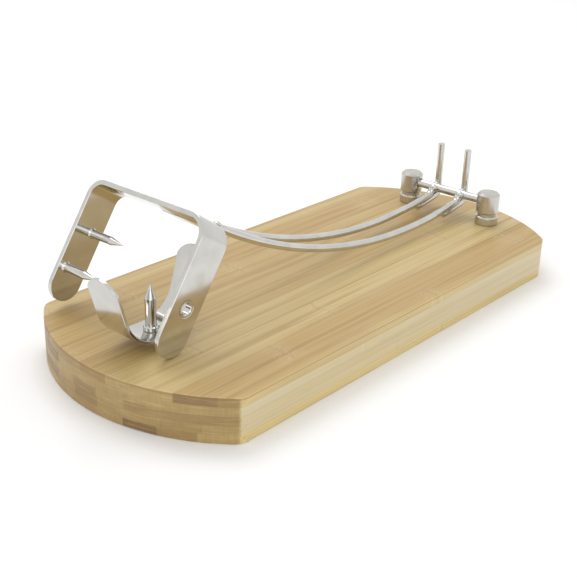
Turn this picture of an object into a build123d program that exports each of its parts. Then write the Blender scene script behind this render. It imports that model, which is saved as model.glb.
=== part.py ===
from build123d import *
from math import acos, asin, cos, degrees, radians, sin, sqrt
import os

# A folding ham holder: a bamboo board, a V rest with a spike at the front, and a curved
# twin-rod arm that folds flat about a crossbar held in two posts at the back.
# Millimetres. Origin: middle of the board's underside. +X towards the posts, +Z up,
# -Y is the near side, where the clamp's bored leg hangs.

# ---- board ----
BOARD_LENGTH = 366.0
BOARD_WIDTH = 160.0
BOARD_THICK = 27.0
BOARD_END_BULGE = 32.0        # how far each curved end stands out of the straight sides
BOARD_CORNER_R = 9.0
BOARD_EDGE_R = 0.8

# ---- posts ----
POST_X = 151.0
POST_Y = 33.1
POST_D = 16.0
POST_HEIGHT = 23.0
POST_CHAMFER = 1.4
FOOT_HEIGHT = 6.2
FOOT_BEVEL = 0.8
NECK_HEIGHT = 1.8             # straight part of the neck above the foot
NECK_GROOVE = 1.4             # depth of the neck, and height of the slope above it
BAR_HEIGHT = 16.0             # crossbar's axis above the board
BORE_MOUTH = 0.6
END_WALL_DEPTH = 4.2          # crossbar bore's depth beyond the post's axis
POST_SCREW_D = 5.0
POST_SCREW_HEAD_D = 9.5
POST_SCREW_HEAD_H = 3.4
POST_SCREW_ROOF = 1.2         # metal left between the screw's hole and the crossbar's bore
DRIVE_AF = 3.0
DRIVE_DEPTH = 1.8
WASHER_T = 1.0
WASHER_RIM = 1.4              # how far a washer stands out past the head or nut on it
SINK_DEPTH = 1.2              # how far heads and nuts lie inside the board's underside

# ---- arm ----
BAR_D = 6.0
ROD_D = 5.0
ROD_Y = 11.3
ARM_R = 360.0
ARM_LOW_X = 85.0              # lowest point of the arm rods' curve
ARM_LOW_HEIGHT = 7.5          # rod centreline above the board there
ARM_HEAD_ANGLE = 31.0         # slope of the arm where the clamp begins
ARM_STUB_R = 5.0
ARM_STUB_RISE = 1.0           # rod end above the crossbar's axis
STOP_RISE = 32.0              # stop rod's top above the crossbar's axis
STOP_BEND_R = 5.5
STOP_SHIFT = 1.8              # stop rod's plane to the far side of its arm rod's plane
STOP_FOOT = 16.0              # length of the stop rod's foot under the arm rod
END_CHAMFER = 0.5
WELD_R = 3.2

# ---- clamp ----
STRIP_WIDTH = 22.0
STRIP_T = 3.0
CLAMP_TILT = 34.0
CLAMP_SPAN = 95.0             # outside of one leg to outside of the other
CLAMP_NEAR_Y = -24.4
NEAR_BEND_R = 14.0            # outer radii of the strip's two bends
FAR_BEND_R = 10.0
FAR_LEG_SHORT = 3.6           # how much shorter the far leg is than the near leg
TAB_T = 2.0                   # plate under the web, between the arm rods' outer sides
TAB_LAND = 0.2                # thickness left at the front of the plate's bevel
TAB_BEVEL = 4.6               # length of that bevel
SPIKE_D = 5.0
SPIKE_LENGTH = 27.0
SPIKE_POINT = 10.0
UPPER_SPIKE = (14.2, 30.4)    # behind the front edge, below the web's outer face
LOWER_SPIKE = (5.8, 54.2)
SPIKE_WELD_H = 0.9
SPIKE_WELD_RIM = 0.8
SCREW_HOLE = (11.0, 49.0)
THREAD_D = 6.8                # bore of a tapped M8 thread
BUSH_WALL = 1.4
BUSH_STAND = 1.5              # bush standing out on the leg's inner side

# ---- V rest ----
REST_X = -139.5
REST_WIDTH = 23.6
REST_T = 2.0
REST_FLAT = 9.4
REST_BEND_R = 21.9            # inner radius
REST_WING_ANGLE = 73.8
REST_WING = 18.4              # straight length of each wing, below its rounded end
REST_TIP_BULGE = 7.5
REST_SPIKE_D = 6.6
REST_SPIKE_RISE = 27.7        # point above the V's inner floor
REST_SPIKE_POINT = 8.8
COLLAR_D = 9.0
COLLAR_H = 3.0
SPACER_D = 11.0
SPACER_H = 4.5
NUT_AF = 10.0
NUT_H = 5.0

# ---- fits ----
RUN_FIT = 0.08                # radial clearance of the crossbar in the posts
HOLE_FIT = 0.15               # radial clearance of studs, screws and spikes in plain holes
THREAD_FIT = 0.05             # radial clearance that stands in for a thread
SINK_FIT = 1.5                # radial room around a washer in its sinking
END_PLAY = 0.3                # crossbar's end to the bore's end
REST_GAP = 0.3                # folded clamp leg above the board, raised stop rods above it

# ---- derived places ----
BOARD_TOP = BOARD_THICK
BAR_Z = BOARD_TOP + BAR_HEIGHT
ARM_CENTRE = (ARM_LOW_X, BOARD_TOP + ARM_LOW_HEIGHT + ARM_R)
ROD_OFFSET = (BAR_D + ROD_D) / 2
CLAMP_ROOT = (
    ARM_CENTRE[0] - ARM_R * sin(radians(ARM_HEAD_ANGLE)),
    ARM_CENTRE[1] - ARM_R * cos(radians(ARM_HEAD_ANGLE)),
)
SIDES = {"near": -1, "far": 1}


def at(x, y, z):
    return Location((x, y, z))


def rod(length, diameter, z=0.0, x=0.0, y=0.0):
    """Upright round bar whose lower end is at z."""
    return at(x, y, z) * Cylinder(diameter / 2, length, align=(Align.CENTER, Align.CENTER, Align.MIN))


def lathe(*points):
    """Solid of revolution about Z from (radius, height) points that start and end on the axis."""
    return revolve(Plane.XZ * make_face(Polyline(*points, close=True)), Axis.Z)


def hexagon(across_flats, height, z, x=0.0):
    return at(x, 0, z) * extrude(RegularPolygon(across_flats / sqrt(3), 6), height)


def along(path, diameter, free_ends=(0, 1)):
    """Round bar along a path drawn in Plane.XZ, chamfered at its free ends."""
    bar = sweep(Plane(path ^ 0) * Circle(diameter / 2), path)
    rims = bar.edges().filter_by(GeomType.CIRCLE)
    ends = [rim for rim in rims for t in free_ends if (rim.arc_center - (path @ t)).length < 0.01]
    return chamfer(ends, END_CHAMFER)


# ---- board and what is sunk in it ----
SCREW_SINK_D = POST_SCREW_HEAD_D + 2 * WASHER_RIM + SINK_FIT
NUT_SINK_D = NUT_AF * 2 / sqrt(3) + 2 * WASHER_RIM + SINK_FIT
SCREW_SEAT = SINK_DEPTH + POST_SCREW_HEAD_H + WASHER_T
NUT_SEAT = SINK_DEPTH + NUT_H + WASHER_T


def board():
    half = BOARD_LENGTH / 2 - BOARD_END_BULGE
    side = BOARD_WIDTH / 2
    outline = [
        Line((-half, -side), (half, -side)),
        ThreePointArc((half, -side), (half + BOARD_END_BULGE, 0), (half, side)),
        Line((half, side), (-half, side)),
        ThreePointArc((-half, side), (-half - BOARD_END_BULGE, 0), (-half, -side)),
    ]
    plan = make_face(outline)
    plan = fillet(plan.vertices(), BOARD_CORNER_R)
    body = extrude(plan, BOARD_THICK)
    rims = body.faces().sort_by(Axis.Z)
    body = fillet(rims[0].edges() + rims[-1].edges(), BOARD_EDGE_R)
    for sign in SIDES.values():
        body -= rod(BOARD_THICK, POST_SCREW_D + 2 * HOLE_FIT, 0, POST_X, sign * POST_Y)
        body -= rod(SCREW_SEAT, SCREW_SINK_D, 0, POST_X, sign * POST_Y)
    body -= rod(BOARD_THICK, REST_SPIKE_D + 2 * HOLE_FIT, 0, REST_X)
    body -= rod(NUT_SEAT, NUT_SINK_D, 0, REST_X)
    return body


# ---- posts ----
POST_HOLE_TOP = BAR_HEIGHT - BAR_D / 2 - RUN_FIT - POST_SCREW_ROOF


def post_foot(sign):
    r = POST_D / 2
    foot = lathe((0, 0), (r, 0), (r, FOOT_HEIGHT - FOOT_BEVEL), (r - FOOT_BEVEL, FOOT_HEIGHT), (0, FOOT_HEIGHT))
    foot = chamfer(foot.edges().sort_by(Axis.Z)[0], FOOT_BEVEL / 2)
    foot -= rod(FOOT_HEIGHT, POST_SCREW_D + 2 * HOLE_FIT)
    return at(POST_X, sign * POST_Y, BOARD_TOP) * foot


def post_head(sign):
    r = POST_D / 2
    neck = r - NECK_GROOVE
    shoulder = FOOT_HEIGHT + NECK_HEIGHT
    head = lathe(
        (0, FOOT_HEIGHT),
        (neck, FOOT_HEIGHT),
        (neck, shoulder),
        (r, shoulder + NECK_GROOVE),
        (r, POST_HEIGHT - POST_CHAMFER),
        (r - POST_CHAMFER, POST_HEIGHT),
        (0, POST_HEIGHT),
    )
    head -= rod(POST_HOLE_TOP - FOOT_HEIGHT, POST_SCREW_D + 2 * THREAD_FIT, FOOT_HEIGHT)
    mouth = BAR_D / 2 + RUN_FIT
    bore = lathe(
        (0, 0),
        (mouth, 0),
        (mouth, r + END_WALL_DEPTH - BORE_MOUTH),
        (mouth + 2 * BORE_MOUTH, r + END_WALL_DEPTH + BORE_MOUTH),
        (0, r + END_WALL_DEPTH + BORE_MOUTH),
    )
    head -= at(0, sign * END_WALL_DEPTH, BAR_HEIGHT) * Rot(X=sign * 90) * bore
    return at(POST_X, sign * POST_Y, BOARD_TOP) * head


def post_screws():
    length = BOARD_TOP + POST_HOLE_TOP - END_PLAY - SINK_DEPTH
    screw = rod(length, POST_SCREW_D, SINK_DEPTH)
    head = rod(POST_SCREW_HEAD_H, POST_SCREW_HEAD_D, SINK_DEPTH)
    head = fillet(head.edges().sort_by(Axis.Z)[0], POST_SCREW_HEAD_H / 3)
    screw = screw + head - hexagon(DRIVE_AF, DRIVE_DEPTH, SINK_DEPTH)
    return [at(POST_X, sign * POST_Y, 0) * screw for sign in SIDES.values()]


def washer(bore_d, rim_d, z):
    return rod(WASHER_T, rim_d, z) - rod(WASHER_T, bore_d, z)


def post_washers():
    ring = washer(
        POST_SCREW_D + 2 * HOLE_FIT,
        POST_SCREW_HEAD_D + 2 * WASHER_RIM,
        SINK_DEPTH + POST_SCREW_HEAD_H,
    )
    return [at(POST_X, sign * POST_Y, 0) * ring for sign in SIDES.values()]


# ---- arm ----
BAR_REACH = POST_Y + END_WALL_DEPTH - END_PLAY


def crossbar():
    bar = Cylinder(BAR_D / 2, 2 * BAR_REACH)
    bar = chamfer(bar.edges().filter_by(GeomType.CIRCLE), END_CHAMFER)
    return at(POST_X, 0, BAR_Z) * Rot(X=90) * bar


def arm_point(x, radius=ARM_R):
    """Point at x on a curve concentric with the arm's, as (x, z)."""
    dx = x - ARM_CENTRE[0]
    return x, ARM_CENTRE[1] - sqrt(radius**2 - dx**2)


def arm_path():
    """Arm rod's centreline in Plane.XZ: the long curve, a tight bend, and the upright stub."""
    start = arm_point(CLAMP_ROOT[0] - ROD_D / 2)
    stub_x = POST_X - ROD_OFFSET
    bend = (stub_x - ARM_STUB_R, 0)
    reach = ARM_R - ARM_STUB_R
    dx = bend[0] - ARM_CENTRE[0]
    bend_z = ARM_CENTRE[1] - sqrt(reach**2 - dx**2)
    low = asin(dx / reach)
    touch = (ARM_CENTRE[0] + ARM_R * sin(low), ARM_CENTRE[1] - ARM_R * cos(low))
    turn = (low + radians(90)) / 2
    bend_mid = (bend[0] + ARM_STUB_R * sin(turn), bend_z - ARM_STUB_R * cos(turn))
    long_mid = arm_point((CLAMP_ROOT[0] + touch[0]) / 2)
    return Plane.XZ * Wire(
        [
            ThreePointArc(start, long_mid, touch),
            ThreePointArc(touch, bend_mid, (stub_x, bend_z)),
            Line((stub_x, bend_z), (stub_x, BAR_Z + ARM_STUB_RISE)),
        ]
    )


def arm_rod(sign):
    """Rod from the crossbar's front to a cut that lies flat on the clamp's back edge."""
    bar = at(0, sign * ROD_Y, 0) * along(arm_path(), ROD_D, free_ends=(1,))
    return bar - tilted(Box(STRIP_WIDTH, 3 * ROD_Y, STRIP_WIDTH, align=(Align.MAX, Align.CENTER, Align.CENTER)))


def foot_line():
    """Straight line that the stop rod's foot follows, touching the arm rod: point, slope."""
    drop = sqrt(ROD_D**2 - STOP_SHIFT**2)
    x, z = arm_point(POST_X - ROD_OFFSET - STOP_FOOT / 2, ARM_R + drop)
    slope = asin((x - ARM_CENTRE[0]) / (ARM_R + drop))
    return (x, z), slope


def stop_path():
    (x, z), slope = foot_line()
    upright = POST_X + ROD_OFFSET
    corner = (upright, z + (upright - x) * sin(slope) / cos(slope))
    toe_x = x - STOP_FOOT / 2 * cos(slope)
    toe = (toe_x, z + (toe_x - x) * sin(slope) / cos(slope))
    top = (upright, BAR_Z + STOP_RISE)
    return Plane.XZ * FilletPolyline(top, corner, toe, radius=STOP_BEND_R)


def stop_rod(sign):
    return at(0, sign * ROD_Y + STOP_SHIFT, 0) * along(stop_path(), ROD_D)


def bead(x, z, y):
    return at(x, y, z) * Sphere(WELD_R)


def crossbar_welds(bar, arm_rods, stop_rods):
    """Fillets where both rods of each side meet the crossbar, and at the stop rods' toes."""
    (x, z), slope = foot_line()
    toe_x = x - STOP_FOOT / 2 * cos(slope)
    toe_z = z - STOP_FOOT / 2 * sin(slope) + ROD_D / 2
    spots = [
        (POST_X - BAR_D / 2, BAR_Z, 0),
        (POST_X + BAR_D / 2, BAR_Z, STOP_SHIFT),
        (toe_x, toe_z, STOP_SHIFT / 2),
    ]
    welds = []
    for side, sign in SIDES.items():
        for spot_x, spot_z, shift in spots:
            spot = bead(spot_x, spot_z, sign * ROD_Y + shift)
            welds += (spot - bar - arm_rods[side] - stop_rods[side]).solids()
    return keep_large(welds)


def keep_large(solids, least=0.4):
    return [s for s in solids if s.volume > least]


# ---- clamp, drawn level with its web's middle at z=0 and its back edge at x=0 ----
CLAMP_FAR_Y = CLAMP_NEAR_Y + CLAMP_SPAN
TILT = radians(CLAMP_TILT)
END_R = STRIP_WIDTH / 2
NEAR_LEG = (
    CLAMP_ROOT[1] + END_R * sin(TILT) + (STRIP_T / 2 + END_R) * cos(TILT) - END_R - BOARD_TOP - REST_GAP
) / cos(TILT)
FAR_LEG = NEAR_LEG - FAR_LEG_SHORT


def tilted(shape):
    """Carry a shape from the clamp's level frame to its place on the arm."""
    return Location((CLAMP_ROOT[0], 0, CLAMP_ROOT[1])) * Rot(Y=CLAMP_TILT) * shape


def on_leg(place, y):
    """Level-frame location of a (behind front edge, below outer face) place on a leg."""
    return at(place[0] - STRIP_WIDTH, y, STRIP_T / 2 - place[1])


def leg_outline(length):
    """Side view of a leg: straight sides and a full round end."""
    square = length - END_R
    top = STRIP_T / 2
    face = make_face(
        [
            Line((0, top - square), (0, top)),
            Line((0, top), (-STRIP_WIDTH, top)),
            Line((-STRIP_WIDTH, top), (-STRIP_WIDTH, top - square)),
            ThreePointArc(
                (-STRIP_WIDTH, top - square), (-END_R, top - length), (0, top - square)
            ),
        ]
    )
    return Plane.XZ * face


def rounded_top(width, deep, inset):
    """Rectangle whose upper corners follow the strip's bends, inset from their outer radii."""
    face = Rectangle(width, 2 * deep)
    near = face.vertices().sort_by(Axis.Y)[-2:].sort_by(Axis.X)[0]
    face = fillet(near, NEAR_BEND_R - inset)
    far = face.vertices().sort_by(Axis.X)[-2:].sort_by(Axis.Y)[-1]
    return fillet(far, FAR_BEND_R - inset)


def clamp_bracket():
    top = STRIP_T / 2
    deep = NEAR_LEG + STRIP_T
    middle = (CLAMP_NEAR_Y + CLAMP_FAR_Y) / 2
    bent = rounded_top(CLAMP_SPAN, deep, 0) - Pos(0, -STRIP_T) * rounded_top(
        CLAMP_SPAN - 2 * STRIP_T, deep, STRIP_T
    )
    bent = extrude(Plane.YZ * Pos(middle, top - deep) * bent, -STRIP_WIDTH)
    near = extrude(leg_outline(NEAR_LEG), CLAMP_SPAN / 2, both=True)
    far = extrude(leg_outline(FAR_LEG), CLAMP_SPAN / 2, both=True)
    shape = bent & (at(0, middle - CLAMP_SPAN / 2, 0) * near + at(0, middle + CLAMP_SPAN / 2, 0) * far)
    hole = Rot(X=90) * Cylinder(THREAD_D / 2 + BUSH_WALL, 2 * STRIP_T)
    shape -= on_leg(SCREW_HOLE, CLAMP_NEAR_Y) * hole
    return tilted(shape)


def clamp_tab(bracket):
    """Plate under the web that gives both arm rods a thicker edge to butt on, bevelled in front."""
    front = -STRIP_WIDTH
    side = Polyline((0, 0), (front, 0), (front, -TAB_LAND), (front + TAB_BEVEL, -TAB_T), (0, -TAB_T), close=True)
    plate = extrude(Plane.XZ * make_face(side), ROD_Y + ROD_D / 2, both=True)
    return tilted(at(0, 0, -STRIP_T / 2) * plate) - bracket


def threaded_bush():
    """Round bush pressed through the near leg, flush outside and proud inside."""
    length = STRIP_T + BUSH_STAND
    ring = Cylinder(THREAD_D / 2 + BUSH_WALL, length) - Cylinder(THREAD_D / 2, length)
    mouths = ring.edges().filter_by(GeomType.CIRCLE).sort_by(SortBy.RADIUS)[:2]
    ring = chamfer(mouths, BUSH_WALL / 3)
    return tilted(on_leg(SCREW_HOLE, CLAMP_NEAR_Y + length / 2) * Rot(X=90) * ring)


def clamp_spike(place):
    r = SPIKE_D / 2
    shank = SPIKE_LENGTH - SPIKE_POINT
    spike = lathe((0, 0), (r, 0), (r, shank), (0, SPIKE_LENGTH))
    return tilted(on_leg(place, CLAMP_FAR_Y - STRIP_T) * Rot(X=90) * spike)


def spike_welds():
    r = SPIKE_D / 2
    rings = []
    for place in (UPPER_SPIKE, LOWER_SPIKE):
        ring = lathe((0, 0), (r + SPIKE_WELD_RIM, 0), (r, SPIKE_WELD_H), (0, SPIKE_WELD_H))
        ring -= rod(SPIKE_WELD_H, SPIKE_D)
        rings.append(tilted(on_leg(place, CLAMP_FAR_Y - STRIP_T) * Rot(X=90) * ring))
    return rings


def clamp_welds(bracket, tab, arm_rods):
    """Fillets around each arm rod's end, on the back edges of the web and its plate."""
    clamp = bracket + tab
    welds = []
    for side, sign in SIDES.items():
        spot = bead(CLAMP_ROOT[0], CLAMP_ROOT[1], sign * ROD_Y)
        welds += (spot - clamp - arm_rods[side]).solids()
    return keep_large(welds)


# ---- V rest ----
REST_UNDER = BOARD_TOP + SPACER_H
REST_FLOOR = REST_UNDER + REST_T


def v_rest():
    wing = radians(REST_WING_ANGLE)
    half = REST_FLAT / 2
    spread = half + REST_BEND_R * sin(wing)
    lift = REST_BEND_R * (1 - cos(wing))
    length = REST_WING + REST_TIP_BULGE
    tip = (spread + length * cos(wing), lift + length * sin(wing))
    mid = (half + REST_BEND_R * sin(wing / 2), REST_BEND_R * (1 - cos(wing / 2)))
    line = Wire(
        [
            Line((-tip[0], tip[1]), (-spread, lift)),
            ThreePointArc((-spread, lift), (-mid[0], mid[1]), (-half, 0)),
            Line((-half, 0), (half, 0)),
            ThreePointArc((half, 0), mid, (spread, lift)),
            Line((spread, lift), tip),
        ]
    )
    inside = make_face([line, Line(tip, (-tip[0], tip[1]))])
    outside = offset(inside, REST_T, kind=Kind.INTERSECTION)
    open_top = Pos(0, tip[1]) * Rectangle(4 * tip[0], 4 * REST_T, align=(Align.CENTER, Align.MIN))
    section = outside - inside - open_top
    strip = extrude(Plane.XZ * section, REST_WIDTH / 2, both=True)
    for side in (-1, 1):
        strip &= wing_trim(side, spread, lift, wing)
    strip = at(REST_X, 0, REST_FLOOR) * strip
    return strip - rod(REST_T, REST_SPIKE_D + 2 * HOLE_FIT, REST_UNDER, REST_X)


def wing_trim(side, spread, lift, wing):
    """Prism that leaves one wing a rounded end and everything else whole."""
    wide = REST_WIDTH / 2
    deep = 3 * (spread + lift + REST_WING)
    face = make_face(
        [
            Polyline((wide, REST_WING), (wide, -deep), (-wide, -deep), (-wide, REST_WING)),
            ThreePointArc((-wide, REST_WING), (0, REST_WING + REST_TIP_BULGE), (wide, REST_WING)),
        ]
    )
    out = Vector(side * sin(wing), 0, -cos(wing))
    up = Vector(side * cos(wing), 0, sin(wing))
    plane = Plane((side * spread, 0, lift), x_dir=up.cross(out), z_dir=out)
    return extrude(plane * face, deep, both=True)


def rest_spike():
    r = REST_SPIKE_D / 2
    tip = REST_FLOOR + REST_SPIKE_RISE
    stud = lathe((0, SINK_DEPTH), (r, SINK_DEPTH), (r, tip - REST_SPIKE_POINT), (0, tip))
    return at(REST_X, 0, 0) * chamfer(stud.edges().sort_by(Axis.Z)[0], END_CHAMFER)


def rest_collar():
    ring = rod(COLLAR_H, COLLAR_D)
    ring = chamfer(ring.edges().filter_by(GeomType.CIRCLE), END_CHAMFER)
    return at(REST_X, 0, REST_FLOOR) * (ring - rod(COLLAR_H, REST_SPIKE_D + 2 * THREAD_FIT))


def rest_spacer():
    return at(REST_X, 0, BOARD_TOP) * (
        rod(SPACER_H, SPACER_D) - rod(SPACER_H, REST_SPIKE_D + 2 * HOLE_FIT)
    )


def rest_nut():
    nut = hexagon(NUT_AF, NUT_H, SINK_DEPTH) - rod(NUT_H, REST_SPIKE_D + 2 * THREAD_FIT, SINK_DEPTH)
    return at(REST_X, 0, 0) * nut


def rest_washer():
    rim = NUT_AF * 2 / sqrt(3) + 2 * WASHER_RIM
    return at(REST_X, 0, 0) * washer(REST_SPIKE_D + 2 * HOLE_FIT, rim, SINK_DEPTH + NUT_H)


# ---- fold ----
def fold_limit():
    """Angle at which the stop rods' back edges come down to REST_GAP above the board."""
    back = ROD_OFFSET + ROD_D / 2
    tip_z = STOP_RISE
    reach = sqrt(back**2 + tip_z**2)
    drop = BAR_HEIGHT - REST_GAP
    return degrees(acos(back / reach) + asin(drop / reach))


# ---- all nodes ----
def assemble():
    nodes = {"board": board()}
    for side, sign in SIDES.items():
        nodes[f"post_foot_{side}"] = post_foot(sign)
        nodes[f"post_head_{side}"] = post_head(sign)
        nodes[f"arm_rod_{side}"] = arm_rod(sign)
        nodes[f"stop_rod_{side}"] = stop_rod(sign)
    nodes["post_screws"] = post_screws()
    nodes["post_washers"] = post_washers()
    nodes["crossbar"] = crossbar()
    nodes["clamp_bracket"] = clamp_bracket()
    nodes["clamp_tab"] = clamp_tab(nodes["clamp_bracket"])
    nodes["threaded_bush"] = threaded_bush()
    nodes["clamp_spike_upper"] = clamp_spike(UPPER_SPIKE)
    nodes["clamp_spike_lower"] = clamp_spike(LOWER_SPIKE)
    nodes["spike_welds"] = spike_welds()
    arm_rods = {side: nodes[f"arm_rod_{side}"] for side in SIDES}
    stop_rods = {side: nodes[f"stop_rod_{side}"] for side in SIDES}
    nodes["crossbar_welds"] = crossbar_welds(nodes["crossbar"], arm_rods, stop_rods)
    nodes["clamp_welds"] = clamp_welds(nodes["clamp_bracket"], nodes["clamp_tab"], arm_rods)
    nodes["v_rest"] = v_rest()
    nodes["rest_spike"] = rest_spike()
    nodes["rest_collar"] = rest_collar()
    nodes["rest_spacer"] = rest_spacer()
    nodes["rest_nut"] = rest_nut()
    nodes["rest_washer"] = rest_washer()
    return nodes


def write(nodes):
    os.makedirs("parts", exist_ok=True)
    for name, shape in nodes.items():
        if isinstance(shape, list):
            shape = Compound(children=shape)
        export_step(shape, f"parts/{name}.step")


write(assemble())
print(f"fold limit {fold_limit():.2f} deg, near leg {NEAR_LEG:.2f}, far leg {FAR_LEG:.2f}")
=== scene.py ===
"""Folding ham holder: bamboo board, steel rest and folding steel arm.

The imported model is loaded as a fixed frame.  Its own nodes stay where they are and
get finishes, and the bent strips and the posts get softened edges.  The welds at the
crossbar and at the clamp are replaced by slightly uneven beads.  All lengths are in
metres unless a name or comment says otherwise.
"""

from __future__ import annotations

import logging
import math
from dataclasses import dataclass, field
from enum import Enum

import bpy
from mathutils import Matrix, Vector, noise

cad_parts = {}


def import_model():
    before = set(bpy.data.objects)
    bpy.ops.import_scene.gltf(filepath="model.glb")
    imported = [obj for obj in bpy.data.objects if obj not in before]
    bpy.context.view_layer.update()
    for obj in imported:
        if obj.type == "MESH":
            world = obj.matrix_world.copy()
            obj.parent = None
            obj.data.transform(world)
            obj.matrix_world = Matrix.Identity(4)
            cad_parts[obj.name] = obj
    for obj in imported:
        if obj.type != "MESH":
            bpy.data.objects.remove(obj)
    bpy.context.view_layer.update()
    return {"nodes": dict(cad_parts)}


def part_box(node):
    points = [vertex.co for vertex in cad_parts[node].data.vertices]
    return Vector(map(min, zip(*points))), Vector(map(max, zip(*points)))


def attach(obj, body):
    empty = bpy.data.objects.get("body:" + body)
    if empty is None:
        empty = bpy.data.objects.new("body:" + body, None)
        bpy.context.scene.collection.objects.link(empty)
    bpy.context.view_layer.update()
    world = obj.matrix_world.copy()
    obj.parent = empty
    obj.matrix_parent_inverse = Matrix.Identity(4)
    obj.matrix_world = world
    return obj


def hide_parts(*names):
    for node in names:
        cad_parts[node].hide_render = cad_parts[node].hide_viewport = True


LOG = logging.getLogger("ham_holder")
MM = 0.001

Socket = bpy.types.NodeSocket
Value = "Socket | float | tuple[float, ...]"


# ------------------------------------------------------------------ helpers


def linear(code: str) -> tuple[float, float, float, float]:
    """Turn a display colour into the linear colour that shaders use.

    Args:
        code: six hexadecimal digits, red first.

    Returns:
        Linear red, green, blue and an alpha of 1.
    """
    parts = [int(code[i : i + 2], 16) / 255 for i in (0, 2, 4)]
    curve = [c / 12.92 if c <= 0.04045 else ((c + 0.055) / 1.055) ** 2.4 for c in parts]
    return curve[0], curve[1], curve[2], 1.0


class Graph:
    """One material's node tree, with short calls for the nodes used here."""

    def __init__(self, name: str) -> None:
        """Start an empty material around a principled shader.

        Args:
            name: the material's name.
        """
        self.material = bpy.data.materials.new(name)
        self.material.use_nodes = True
        self.tree = self.material.node_tree
        self.tree.nodes.clear()
        output = self.add("ShaderNodeOutputMaterial")
        self.shader = self.add("ShaderNodeBsdfPrincipled")
        self.tree.links.new(self.shader.outputs["BSDF"], output.inputs["Surface"])
        coordinates = self.add("ShaderNodeTexCoord")
        self.place = coordinates.outputs["Object"]
        self.normal = coordinates.outputs["Normal"]

    def add(self, kind: str, **settings: object) -> bpy.types.Node:
        """Add a node.

        Args:
            kind: the node's type name.
            settings: attributes set on the node.

        Returns:
            The new node.
        """
        node = self.tree.nodes.new(kind)
        for key, value in settings.items():
            setattr(node, key, value)
        return node

    def feed(self, into: Socket, value: Value) -> None:
        """Link a socket to an input, or set the input to a plain value."""
        if isinstance(value, bpy.types.NodeSocket):
            self.tree.links.new(value, into)
        else:
            into.default_value = value

    def number(self, operation: str, *values: Value) -> Socket:
        """Do arithmetic on up to three numbers.

        Args:
            operation: the math node's operation.
            values: sockets or numbers, in the node's order.

        Returns:
            The result's socket.
        """
        node = self.add("ShaderNodeMath", operation=operation)
        for into, value in zip(node.inputs, values):
            self.feed(into, value)
        return node.outputs[0]

    def times(self, first: Value, second: Value) -> Socket:
        """Multiply two numbers."""
        return self.number("MULTIPLY", first, second)

    def scaled(self, where: Value, factors: tuple[float, float, float]) -> Socket:
        """Multiply a vector by three factors, one for each axis.

        Args:
            where: the vector.
            factors: factors along x, y and z.

        Returns:
            The scaled vector's socket.
        """
        node = self.add("ShaderNodeVectorMath", operation="MULTIPLY")
        self.feed(node.inputs[0], where)
        self.feed(node.inputs[1], factors)
        return node.outputs[0]

    def split(self, where: Socket) -> tuple[Socket, Socket, Socket]:
        """Take a vector apart.

        Args:
            where: the vector's socket.

        Returns:
            Sockets of its three numbers.
        """
        node = self.add("ShaderNodeSeparateXYZ")
        self.feed(node.inputs[0], where)
        return node.outputs[0], node.outputs[1], node.outputs[2]

    def joined(self, x: Value, y: Value, z: Value) -> Socket:
        """Put three numbers together.

        Args:
            x: first number.
            y: second number.
            z: third number.

        Returns:
            The vector's socket.
        """
        node = self.add("ShaderNodeCombineXYZ")
        for into, value in zip(node.inputs, (x, y, z)):
            self.feed(into, value)
        return node.outputs[0]

    def cloud(self, where: Value, detail: float = 2.0, rough: float = 0.5, twist: float = 0.0) -> Socket:
        """Smooth noise from 0 to 1 at a place that is already scaled.

        Args:
            where: the place, one unit for each lump of noise.
            detail: number of finer layers.
            rough: strength of the finer layers.
            twist: distortion.

        Returns:
            The noise value's socket.
        """
        node = self.add("ShaderNodeTexNoise")
        self.feed(node.inputs["Vector"], where)
        node.inputs["Scale"].default_value = 1.0
        node.inputs["Detail"].default_value = detail
        node.inputs["Roughness"].default_value = rough
        node.inputs["Distortion"].default_value = twist
        return node.outputs[0]

    def dice(self, where: Value) -> Socket:
        """Draw one random number from 0 to 1 for each different place.

        Args:
            where: the place.

        Returns:
            The random number's socket.
        """
        node = self.add("ShaderNodeTexWhiteNoise", noise_dimensions="3D")
        self.feed(node.inputs["Vector"], where)
        return node.outputs["Value"]

    def span(
        self, value: Value, low: float, high: float, to_low: float = 0.0, to_high: float = 1.0
    ) -> Socket:
        """Map a number from one range to another, held at the ends.

        Args:
            value: the number.
            low: start of its range.
            high: end of its range.
            to_low: result at the start.
            to_high: result at the end.

        Returns:
            The mapped number's socket.
        """
        node = self.add("ShaderNodeMapRange", interpolation_type="SMOOTHSTEP")
        for into, number in zip(node.inputs, (value, low, high, to_low, to_high)):
            self.feed(into, number)
        return node.outputs[0]

    def ramp(self, value: Value, stops: list[tuple[float, str]]) -> Socket:
        """Colour ramp.

        Args:
            value: place on the ramp, 0 to 1.
            stops: place and colour code of each stop.

        Returns:
            The colour's socket.
        """
        node = self.add("ShaderNodeValToRGB")
        elements = node.color_ramp.elements
        elements[0].position, elements[0].color = stops[0][0], linear(stops[0][1])
        elements[1].position, elements[1].color = stops[-1][0], linear(stops[-1][1])
        for position, code in stops[1:-1]:
            elements.new(position).color = linear(code)
        self.feed(node.inputs[0], value)
        return node.outputs[0]

    def blend(self, share: Value, under: Value, over: Value, mode: str = "MIX") -> Socket:
        """Blend two colours.

        Args:
            share: 0 for the first colour alone, 1 for the full blend.
            under: first colour.
            over: second colour.
            mode: blend mode.

        Returns:
            The blended colour's socket.
        """
        node = self.add("ShaderNodeMix", data_type="RGBA", blend_type=mode)
        self.feed(node.inputs[0], share)
        self.feed(node.inputs[6], under)
        self.feed(node.inputs[7], over)
        return node.outputs[2]

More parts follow.
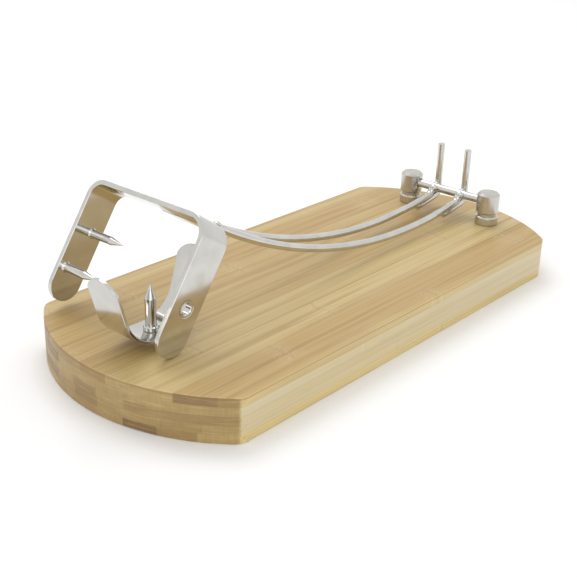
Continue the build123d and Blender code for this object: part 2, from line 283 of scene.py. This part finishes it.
    def relief(self, height: Socket, depth: float) -> None:
        """Bump the surface.

        Args:
            height: height from 0 to 1.
            depth: how deep the full height is.
        """
        node = self.add("ShaderNodeBump")
        node.inputs["Strength"].default_value = 1.0
        node.inputs["Distance"].default_value = depth
        self.feed(node.inputs["Height"], height)
        self.feed(self.shader.inputs["Normal"], node.outputs[0])

    def base(self, name: str, value: Value) -> None:
        """Set or feed one input of the shader."""
        self.feed(self.shader.inputs[name], value)


# ----------------------------------------------------------------- finishes


@dataclass(frozen=True)
class Bamboo:
    """Oiled laminated bamboo: layers of flat strips that run along the board.

    The grains are lumps of noise for each metre along x, y and z.
    """

    thickness: float
    layers: int = 5
    strip: float = 19.5 * MM
    seam: float = 0.12 * MM
    node_pitch: float = 0.235
    rib: float = 1.4 * MM
    halo: float = 13.0 * MM
    lip_top: float = 1.0 * MM
    lip_foot: float = 1.9 * MM
    relief_depth: float = 0.05 * MM
    fibre_grain: tuple[float, float, float] = (9.0, 1500.0, 1500.0)
    streak_grain: tuple[float, float, float] = (4.0, 210.0, 210.0)
    patch_grain: tuple[float, float, float] = (11.0, 38.0, 60.0)
    wash_grain: tuple[float, float, float] = (5.0, 30.0, 120.0)
    layer_seed: float = 3.7
    tone_seed: float = 1.3
    luck_seed: float = 8.1

    def material(self) -> bpy.types.Material:
        """Build the shader.

        Returns:
            The material.
        """
        g = Graph("bamboo")
        x, y, z = g.split(g.place)
        layer_height = self.thickness / self.layers
        level = g.number("DIVIDE", z, layer_height)
        layer = g.number("MINIMUM", g.number("FLOOR", level), self.layers - 1.0)
        layer = g.number("MAXIMUM", layer, 0.0)
        shift = g.times(g.dice(g.joined(layer, self.layer_seed, 0.0)), 4.0)
        across = g.number("ADD", g.number("DIVIDE", y, self.strip), shift)
        strip = g.number("FLOOR", across)
        tone = g.dice(g.joined(strip, layer, self.tone_seed))
        luck = g.dice(g.joined(strip, layer, self.luck_seed))

        moved = g.joined(g.number("ADD", x, g.times(luck, 37.0)), y, z)
        fibre = g.cloud(g.scaled(moved, self.fibre_grain), 3.0, 0.6)
        streak = g.cloud(g.scaled(moved, self.streak_grain), 4.0, 0.55, 0.3)
        patch = g.cloud(g.scaled(moved, self.patch_grain), 3.0, 0.55)

        colour = g.ramp(
            tone,
            [
                (0.0, "DEC88B"),
                (0.35, "D7BD7E"),
                (0.7, "CFB271"),
                (0.88, "C7A766"),
                (1.0, "B99657"),
            ],
        )
        colour = g.blend(g.span(streak, 0.46, 0.74, 0.0, 0.7), colour, linear("A98548"))
        colour = g.blend(g.span(patch, 0.52, 0.75, 0.0, 0.4), colour, linear("DFC991"))
        colour = g.blend(g.span(fibre, 0.42, 0.72, 0.0, 0.5), colour, linear("98773D"))

        colour, rib = self._nodes(g, colour, x, y, luck)
        colour = self._sides(g, colour, layer, moved)
        colour = self._ends(g, colour, tone, y, z)
        # painted shade line under the rounded upper edge
        colour = self._painted_edge_shade(g, colour, z)

        joint = g.number("MINIMUM", self._gap(g, across, self.strip), self._gap(g, level, layer_height))
        line = g.span(joint, 0.0, self.seam, 1.0, 0.0)
        colour = g.blend(g.times(line, 0.32), colour, linear("7C5A31"))

        g.base("Base Color", colour)
        g.base("Roughness", g.span(streak, 0.3, 0.8, 0.4, 0.55))
        g.base("Coat Weight", 0.18)
        g.base("Coat Roughness", 0.3)
        height = g.number("SUBTRACT", g.times(fibre, 0.5), g.times(line, 0.5))
        height = g.number("SUBTRACT", height, g.times(rib, 0.25))
        g.relief(height, self.relief_depth)
        return g.material

    @staticmethod
    def _gap(g: Graph, count: Socket, pitch: float) -> Socket:
        """Find how far the nearest joint between strips or layers is.

        Args:
            g: the material's graph.
            count: number of the strip or layer, with its fraction.
            pitch: width of a strip or height of a layer.

        Returns:
            The distance's socket.
        """
        part = g.number("FRACT", count)
        near = g.number("MINIMUM", part, g.number("SUBTRACT", 1.0, part))
        return g.number("MULTIPLY", near, pitch)

    def _nodes(
        self, g: Graph, colour: Socket, x: Socket, y: Socket, luck: Socket
    ) -> tuple[Socket, Socket]:
        """Add the growth nodes: a thin dark rib across a strip with a pale mottled band beside it.

        Args:
            g: the material's graph.
            colour: colour so far.
            x: place along the board.
            y: place across the board.
            luck: the strip's random number.

        Returns:
            The new colour and the rib's mask.
        """
        wave = g.cloud(g.joined(g.times(x, 60.0), g.times(y, 260.0), 0.0), 2.0)
        along = g.number("ADD", x, g.times(luck, self.node_pitch))
        along = g.number("ADD", along, g.times(wave, 9.0 * MM))
        part = g.number("SUBTRACT", g.number("FRACT", g.number("DIVIDE", along, self.node_pitch)), 0.5)
        away = g.times(g.number("ABSOLUTE", part), self.node_pitch)
        rib = g.span(away, 0.0, self.rib, 1.0, 0.0)
        halo = g.span(away, 1.0 * MM, self.halo, 1.0, 0.0)
        speck = g.cloud(g.joined(g.times(x, 420.0), g.times(y, 700.0), 5.0), 2.0)
        pale = g.times(halo, g.span(speck, 0.45, 0.7, 0.05, 0.5))
        dark = g.times(rib, g.span(speck, 0.35, 0.65, 0.05, 0.4))
        colour = g.blend(pale, colour, linear("E2CB9F"))
        colour = g.blend(dark, colour, linear("94703F"))
        return colour, rib

    def _sides(self, g: Graph, colour: Socket, layer: Socket, moved: Socket) -> Socket:
        """Make the middle layers paler and greyer on the long sides, where the strips show their edges.

        Args:
            g: the material's graph.
            colour: colour so far.
            layer: number of the layer, from the underside.
            moved: place with the strip's own shift along the board.

        Returns:
            The new colour.
        """
        _, ny, _ = g.split(g.normal)
        side = g.span(g.number("ABSOLUTE", ny), 0.8, 0.95)
        low = g.span(layer, 0.0, 1.0)
        high = g.span(layer, self.layers - 2.0, self.layers - 1.0, 1.0, 0.35)
        band = g.times(g.times(low, high), side)
        wash = g.cloud(g.scaled(moved, self.wash_grain), 3.0)
        share = g.times(band, g.span(wash, 0.3, 0.7, 0.5, 0.95))
        return g.blend(share, colour, linear("CFC3A2"))

    @staticmethod
    def _ends(g: Graph, colour: Socket, tone: Socket, y: Socket, z: Socket) -> Socket:
        """Show the darker cut ends of the strips, with fine upright fibre lines and a few brown strips.

        Args:
            g: the material's graph.
            colour: colour so far.
            tone: the strip's random number.
            y: place across the board.
            z: height.

        Returns:
            The new colour.
        """
        nx, _, _ = g.split(g.normal)
        end = g.span(g.number("ABSOLUTE", nx), 0.4, 0.62)
        cut = g.ramp(
            tone,
            [
                (0.0, "AC925C"),
                (0.4, "9F8450"),
                (0.72, "927644"),
                (0.8, "81653D"),
                (1.0, "705633"),
            ],
        )
        lines = g.cloud(g.joined(g.times(y, 1300.0), 0.0, g.times(z, 90.0)), 3.0, 0.6)
        cut = g.blend(g.span(lines, 0.4, 0.7, 0.0, 0.35), cut, linear("8C6E3F"))
        rows = g.cloud(g.joined(g.times(y, 60.0), 4.0, g.times(z, 900.0)), 2.0)
        cut = g.blend(g.span(rows, 0.45, 0.75, 0.0, 0.3), cut, linear("D0B680"))
        return g.blend(g.times(end, 0.92), colour, cut)

    def _painted_edge_shade(self, g: Graph, colour: Socket, z: Socket) -> Socket:
        """Darken a thin line under the rounded upper edge: painted shade where the edge turns over onto the
        upright faces.

        Args:
            g: the material's graph.
            colour: colour so far.
            z: height.

        Returns:
            The new colour.
        """
        _, _, nz = g.split(g.normal)
        upright = g.span(g.number("ABSOLUTE", nz), 0.2, 0.6, 1.0, 0.0)
        near = g.span(z, self.thickness - self.lip_foot, self.thickness - self.lip_top)
        # painted shade: a darker band just under the rounded upper edge, on upright faces only
        return g.blend(g.times(g.times(near, upright), 0.4), colour, linear("8A6534"))


class Lay(Enum):
    """Direction of the fine lines that polishing or turning leaves."""

    ALONG = "along the arm"
    TURNED = "round an upright axis"
    NONE = "no lines"


@dataclass(frozen=True)
class Steel:
    """Stainless steel with polishing lines and smears.

    The grains are lumps of noise for each metre.  The axis is the x and y of the far
    one of a turned pair that stands evenly to both sides of the board's middle.
    """

    name: str
    colour: str
    roughness: float
    spread: float
    lay: Lay
    line_depth: float
    axis: tuple[float, float] = (0.0, 0.0)
    smear_grain: tuple[float, float, float] = (70.0, 90.0, 80.0)
    fine_grain: float = 900.0
    along_grain: tuple[float, float, float] = (14.0, 1300.0, 14.0)
    plain_grain: float = 500.0
    turned_grain: float = 2600.0
    shade: float = 0.93

    def material(self) -> bpy.types.Material:
        """Build the shader.

        Returns:
            The material.
        """
        g = Graph(self.name)
        lines = g.cloud(self._line_place(g), 3.0, 0.6)
        smear = g.cloud(g.scaled(g.place, self.smear_grain), 3.0, 0.55, 0.4)
        tint = g.ramp(smear, [(0.3, self.colour), (0.75, self._darker())])
        g.base("Base Color", tint)
        g.base("Metallic", 1.0)
        rough = g.number("ADD", g.span(smear, 0.35, 0.75, 0.0, self.spread), self.roughness)
        g.base("Roughness", g.number("ADD", rough, g.times(g.span(lines, 0.4, 0.7), self.spread / 2)))
        if self.line_depth:
            fine = g.cloud(g.scaled(g.place, (self.fine_grain,) * 3), 2.0)
            g.relief(g.number("ADD", g.times(lines, 0.8), g.times(fine, 0.2)), self.line_depth)
        return g.material

    def _darker(self) -> str:
        """The colour a shade darker, as a code."""
        return "".join(f"{int(int(self.colour[i : i + 2], 16) * self.shade):02X}" for i in (0, 2, 4))

    def _line_place(self, g: Graph) -> Socket:
        """Place for the line noise, stretched along the lay.

        Args:
            g: the material's graph.

        Returns:
            The scaled place's socket.
        """
        if self.lay is Lay.ALONG:
            return g.scaled(g.place, self.along_grain)
        if self.lay is Lay.NONE:
            return g.scaled(g.place, (self.plain_grain,) * 3)
        x, y, z = g.split(g.place)
        dx = g.number("SUBTRACT", x, self.axis[0])
        dy = g.number("SUBTRACT", g.number("ABSOLUTE", y), self.axis[1])
        radius = g.number("SQRT", g.number("ADD", g.times(dx, dx), g.times(dy, dy)))
        return g.joined(g.times(radius, self.turned_grain), 0.0, g.times(z, self.turned_grain))


# ---------------------------------------------------------------- sub-parts


SEAM_REACH = 0.002 * MM
PLAIN_ANGLE = math.radians(0.4)
SHARP_ANGLE = math.radians(28)


def soften(node: bpy.types.Object, width: float, segments: int = 3) -> None:
    """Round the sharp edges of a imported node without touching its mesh.

    Args:
        node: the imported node.
        width: width of the rounding.
        segments: steps across the rounding.
    """
    weld = node.modifiers.new("close_seams", "WELD")
    weld.merge_threshold = SEAM_REACH
    plane = node.modifiers.new("plain_faces", "DECIMATE")
    plane.decimate_type = "DISSOLVE"
    plane.angle_limit = PLAIN_ANGLE
    bevel = node.modifiers.new("soft_edges", "BEVEL")
    bevel.width = width
    bevel.segments = segments
    bevel.limit_method = "ANGLE"
    bevel.angle_limit = SHARP_ANGLE
    bevel.use_clamp_overlap = True
    even = node.modifiers.new("even_shading", "WEIGHTED_NORMAL")
    even.keep_sharp = False


def dress(node: bpy.types.Object, material: bpy.types.Material) -> None:
    """Give every face of an object one material."""
    node.data.materials.clear()
    node.data.materials.append(material)


@dataclass
class Piece:
    """What every sub-assembly has: the frame's nodes and its list of made pieces."""

    nodes: dict[str, bpy.types.Object]
    made: list[str] = field(default_factory=list)

    def finish_nodes(
        self, names: tuple[str, ...], material: bpy.types.Material, edge: float = 0.0
    ) -> None:
        """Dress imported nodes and, where asked, soften their edges.

        Args:
            names: the nodes' names.
            material: their finish.
            edge: width of the edge rounding, or 0 for none.
        """
        for name in names:
            dress(self.nodes[name], material)
            if edge:
                soften(self.nodes[name], edge)
            self.made.append(name)


@dataclass
class Board(Piece):
    """The bamboo board."""

    def build(self) -> None:
        """Dress the board in bamboo as thick as it is."""
        low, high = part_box("board")
        self.finish_nodes(("board",), Bamboo(thickness=high.z - low.z).material())


@dataclass
class Posts(Piece):
    """The two turned posts with their fixings."""

    edge: float = 0.25 * MM

    def build(self, fixing: bpy.types.Material) -> None:
        """Dress posts and fixings.

        Args:
            fixing: finish of screws and washers.
        """
        low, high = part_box("post_foot_far")
        axis = ((low.x + high.x) / 2, (low.y + high.y) / 2)
        turned = Steel("turned_post_steel", "CFCCC6", 0.2, 0.06, Lay.TURNED, 0.006 * MM, axis).material()
        names = tuple(f"post_{kind}_{side}" for kind in ("foot", "head") for side in ("near", "far"))
        self.finish_nodes(names, turned, self.edge)
        self.finish_nodes(("post_screws", "post_washers"), fixing)


@dataclass
class Rest(Piece):
    """The V rest, its upright spike and what holds them."""

    edge: float = 0.45 * MM

    def build(
        self, strip: bpy.types.Material, rod: bpy.types.Material, fixing: bpy.types.Material
    ) -> None:
        """Dress the rest.

        Args:
            strip: finish of bent strip.
            rod: finish of rods and spikes.
            fixing: finish of nuts and washers.
        """
        self.finish_nodes(("v_rest",), strip, self.edge)
        self.finish_nodes(("rest_spike", "rest_collar", "rest_spacer"), rod)
        self.finish_nodes(("rest_nut", "rest_washer"), fixing)


@dataclass
class Arm(Piece):
    """The folding arm: rods, crossbar, clamp, spikes and welds.

    The bead's step and ripple are in millimetres, and its lumps are for each millimetre,
    because the beads are remeshed with their places in millimetres.
    """

    edge: float = 0.55 * MM
    bead_step: float = 0.38
    ripple: float = 0.07
    coarse_lump: float = 0.6
    fine_lump: float = 1.5

    def build(
        self, strip: bpy.types.Material, rod: bpy.types.Material, bead: bpy.types.Material
    ) -> None:
        """Dress the arm and lay its weld beads.

        Args:
            strip: finish of bent strip.
            rod: finish of rods and spikes.
            bead: finish of the welds.
        """
        self.finish_nodes(("clamp_bracket", "clamp_tab"), strip, self.edge)
        names = ("crossbar", "arm_rod_near", "arm_rod_far", "stop_rod_near", "stop_rod_far")
        self.finish_nodes(names, rod)
        self.finish_nodes(("clamp_spike_upper", "clamp_spike_lower", "threaded_bush"), rod)
        self.finish_nodes(("spike_welds",), bead)
        for name in ("crossbar_welds", "clamp_welds"):
            self.lay_bead(name, bead)

    def lay_bead(self, name: str, bead: bpy.types.Material) -> None:
        """Replace a weld node by a softened, slightly uneven bead.

        Args:
            name: the weld node.
            bead: the bead's finish.
        """
        piece = bpy.data.objects.new(f"{name}_run", self.nodes[name].data.copy())
        bpy.context.scene.collection.objects.link(piece)
        piece.data.transform(Matrix.Scale(1.0 / MM, 4))
        remesh = piece.modifiers.new("one_skin", "REMESH")
        remesh.mode = "VOXEL"
        remesh.voxel_size = self.bead_step
        smooth = piece.modifiers.new("flow", "SMOOTH")
        smooth.iterations = 5
        settled = piece.evaluated_get(bpy.context.evaluated_depsgraph_get())
        mesh = bpy.data.meshes.new_from_object(settled)
        piece.modifiers.clear()
        piece.data = mesh
        for vertex in mesh.vertices:
            lump = noise.noise(vertex.co * self.coarse_lump) + 0.5 * noise.noise(vertex.co * self.fine_lump)
            vertex.co += vertex.normal * self.ripple * lump
        mesh.transform(Matrix.Scale(MM, 4))
        mesh.shade_smooth()
        dress(piece, bead)
        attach(piece, "arm")
        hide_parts(name)
        self.made.append(piece.name)


# ------------------------------------------------------------------- studio


@dataclass(frozen=True)
class Lamp:
    """A soft rectangular light that looks at a point."""

    name: str
    at: tuple[float, float, float]
    size: tuple[float, float]
    watts: float
    aim: tuple[float, float, float] = (0.0, 0.0, 0.03)

    def hang(self) -> None:
        """Put the light in the scene."""
        data = bpy.data.lights.new(self.name, "AREA")
        data.shape = "RECTANGLE"
        data.size, data.size_y = self.size
        data.energy = self.watts
        lamp = bpy.data.objects.new(self.name, data)
        lamp.location = self.at
        lamp.rotation_euler = (Vector(self.aim) - Vector(self.at)).to_track_quat("-Z", "Y").to_euler()
        bpy.context.scene.collection.objects.link(lamp)


@dataclass
class Studio:
    """Pale floor, white surround, soft lamps and the camera."""

    azimuth: float = -49.34
    elevation: float = 24.25
    roll: float = 1.64
    lens: float = 66.5
    target: tuple[float, float, float] = (0.0104, 0.031, 0.0)
    distance: float = 0.7176
    floor_half: float = 6.0

    def build(self) -> None:
        """Set floor, world, lamps and camera."""
        self.lay_floor()
        self.light()
        self.set_camera()

    def lay_floor(self) -> None:
        """Lay a wide plain floor under the board."""
        mesh = bpy.data.meshes.new("floor")
        half = self.floor_half
        corners = [(-half, -half, 0.0), (half, -half, 0.0), (half, half, 0.0), (-half, half, 0.0)]
        mesh.from_pydata(corners, [], [(0, 1, 2, 3)])
        floor = bpy.data.objects.new("floor", mesh)
        bpy.context.scene.collection.objects.link(floor)
        g = Graph("pale_floor")
        g.base("Base Color", (0.9, 0.9, 0.9, 1.0))
        g.base("Roughness", 0.8)
        g.base("Specular IOR Level", 0.1)
        dress(floor, g.material)

    def light(self) -> None:
        """White surround with a soft key from above and behind, and a weak front fill."""
        world = bpy.data.worlds.new("surround")
        bpy.context.scene.world = world
        world.use_nodes = True
        background = world.node_tree.nodes["Background"]
        background.inputs["Color"].default_value = (1.0, 1.0, 1.0, 1.0)
        background.inputs["Strength"].default_value = 0.92
        for lamp in (
            Lamp("key", (0.35, 0.75, 1.5), (1.1, 0.9), 9.0),
            Lamp("fill", (-1.1, -1.2, 0.9), (1.2, 0.8), 3.0),
        ):
            lamp.hang()
        view = bpy.context.scene.view_settings
        view.view_transform = "Standard"
        view.look = "None"

    def set_camera(self) -> None:
        """Place the camera on its sight line, with its small roll."""
        a, e, r = (math.radians(v) for v in (self.azimuth, self.elevation, self.roll))
        back = Vector((math.sin(a) * math.cos(e), -math.cos(a) * math.cos(e), math.sin(e)))
        right = (-back).cross(Vector((0, 0, 1))).normalized()
        up = right.cross(-back)
        side = right * math.cos(r) + up * math.sin(r)
        top = up * math.cos(r) - right * math.sin(r)
        data = bpy.data.cameras.new("camera")
        data.lens = self.lens
        data.sensor_width = 36.0
        data.clip_start, data.clip_end = 0.01, 50.0
        camera = bpy.data.objects.new("camera", data)
        camera.matrix_world = Matrix(
            (
                (side.x, top.x, back.x, 0.0),
                (side.y, top.y, back.y, 0.0),
                (side.z, top.z, back.z, 0.0),
                (0.0, 0.0, 0.0, 1.0),
            )
        )
        camera.location = Vector(self.target) + back * self.distance
        bpy.context.scene.collection.objects.link(camera)
        bpy.context.scene.camera = camera


# --------------------------------------------------------------------- main


def main() -> None:
    """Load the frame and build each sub-assembly in order."""
    logging.basicConfig(level=logging.INFO, format="%(name)s: %(message)s")
    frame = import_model()
    nodes = frame["nodes"]

    strip = Steel("polished_strip_steel", "D6D5D0", 0.1, 0.06, Lay.ALONG, 0.004 * MM).material()
    rod = Steel("satin_rod_steel", "D8D7D2", 0.1, 0.05, Lay.ALONG, 0.0).material()
    fixing = Steel("plain_fixing_steel", "B9B8B4", 0.32, 0.1, Lay.NONE, 0.02 * MM).material()
    bead = Steel("weld_bead_steel", "DAD9D6", 0.16, 0.08, Lay.NONE, 0.0).material()

    board = Board(nodes)
    board.build()
    posts = Posts(nodes)
    posts.build(fixing)
    rest = Rest(nodes)
    rest.build(strip, rod, fixing)
    arm = Arm(nodes)
    arm.build(strip, rod, bead)
    Studio().build()

    for part in (board, posts, rest, arm):
        LOG.info("%s: %s", type(part).__name__, ", ".join(part.made))


if __name__ == "__main__":
    main()
